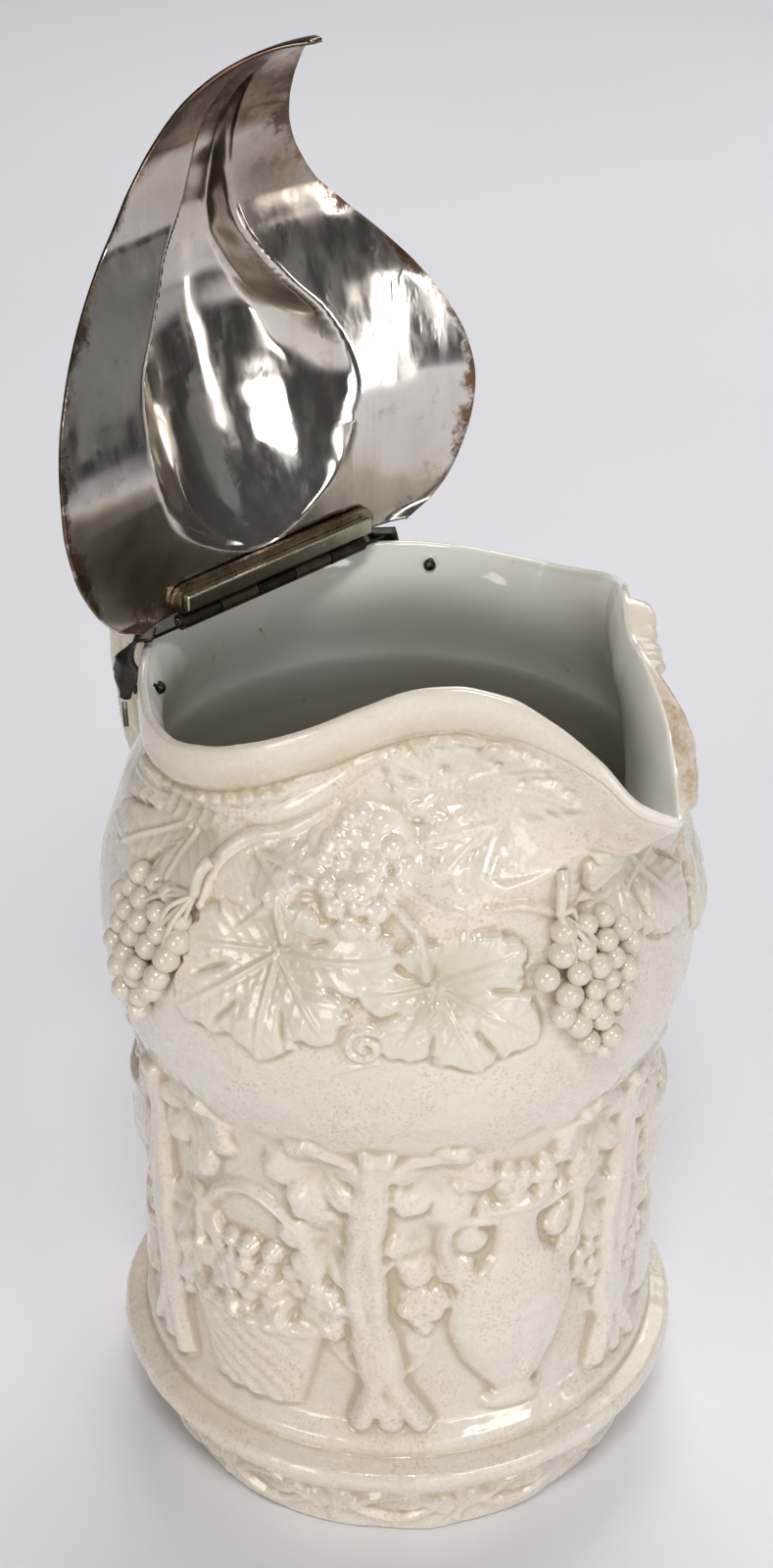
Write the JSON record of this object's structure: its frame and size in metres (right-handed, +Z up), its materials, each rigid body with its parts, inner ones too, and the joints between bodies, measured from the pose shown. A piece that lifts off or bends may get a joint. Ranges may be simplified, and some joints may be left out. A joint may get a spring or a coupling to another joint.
{
  "type": "lidded jug",
  "caption": "Moulded porcelain jug with a waved pouring lip, branch handle and grape sprigs, shut by a hinged pear-domed metal lid on a mount at the back of the mouth.",
  "frame": {"origin": "under the middle of the whole object, on the plane it stands on; the body axis is 7.8 mm forward of it", "axes": "+Z up, +X towards the spout, -X towards the hinge and handle"},
  "size_m": [0.1756, 0.1442, 0.3319],
  "materials": {
    "glazed_porcelain": "cream glaze, softly glossy, speckled",
    "sprig_porcelain": "cream glaze, glossy",
    "worn_silver_plate": "worn and scratched plate, tarnished at the edges",
    "tarnished_metal": "blackened",
    "pin_metal": "dull"
  },
  "bodies": {
    "jug": {"jug_body": "glazed_porcelain", "handle": "glazed_porcelain", "grape_bunch_near": "sprig_porcelain", "grape_bunch_spout": "sprig_porcelain", "grape_bunch_far": "sprig_porcelain", "mount_plate": "tarnished_metal", "mount_strap_near": "tarnished_metal", "mount_strap_far": "tarnished_metal", "mount_prong_near": "tarnished_metal", "mount_prong_far": "tarnished_metal", "collar_pin_near": "tarnished_metal", "collar_pin_far": "tarnished_metal", "mount_knuckle_1": "tarnished_metal", "mount_knuckle_2": "tarnished_metal", "mount_knuckle_3": "tarnished_metal", "hinge_pin": "pin_metal"},
    "lid": {"lid_shell": "worn_silver_plate", "lid_hinge_strip": "worn_silver_plate", "lid_hinge_bar": "worn_silver_plate", "lid_knuckle_1": "worn_silver_plate", "lid_knuckle_2": "worn_silver_plate"}
  },
  "joints": [
    {"name": "lid_hinge", "type": "hinge", "parent": "jug", "child": "lid", "pos_m": [-0.0322, 0, 0.2062], "axis": [0, 1, 0], "range_deg": [0, 88]}
  ]
}
